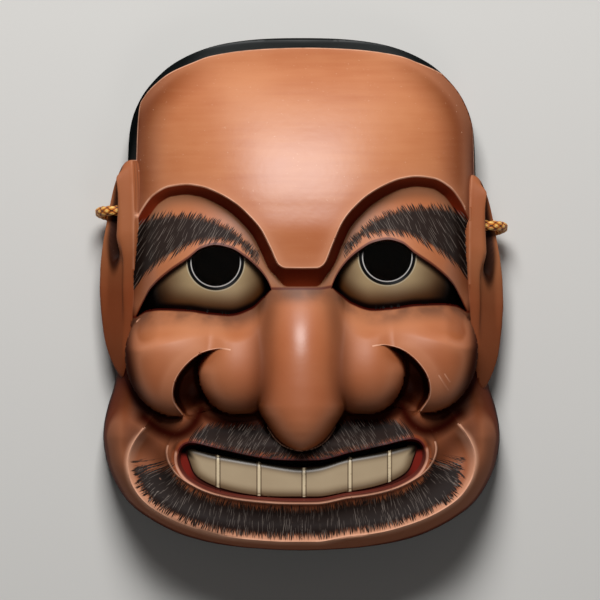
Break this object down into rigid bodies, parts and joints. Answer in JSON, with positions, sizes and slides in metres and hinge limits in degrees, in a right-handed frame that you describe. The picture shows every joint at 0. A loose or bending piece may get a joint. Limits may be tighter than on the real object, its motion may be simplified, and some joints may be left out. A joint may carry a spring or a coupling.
{
  "type": "kyogen mask",
  "caption": "Carved and lacquered wooden stage mask with a bald forehead, round cheeks, broad nose, bared teeth and pierced pupils, lying on its rim with its tie cords coiled inside.",
  "frame": {"origin": "middle of the rim, on the plane that the mask lies on", "axes": "+Z the way the face looks, +Y towards the forehead, +X towards the ear on the right as the mask is looked at"},
  "size_m": [0.1654, 0.206, 0.0672],
  "materials": {
    "lacquered_wood": "satin painted lacquer, worn at the edges",
    "silk_cord": "braided silk"
  },
  "bodies": {
    "root": {"mask": "lacquered_wood", "cord_left_stopper": "silk_cord", "cord_left": "silk_cord", "cord_left_coil": "silk_cord", "cord_left_knot": "silk_cord", "cord_right_stopper": "silk_cord", "cord_right": "silk_cord", "cord_right_coil": "silk_cord", "cord_right_knot": "silk_cord"}
  },
  "joints": []
}
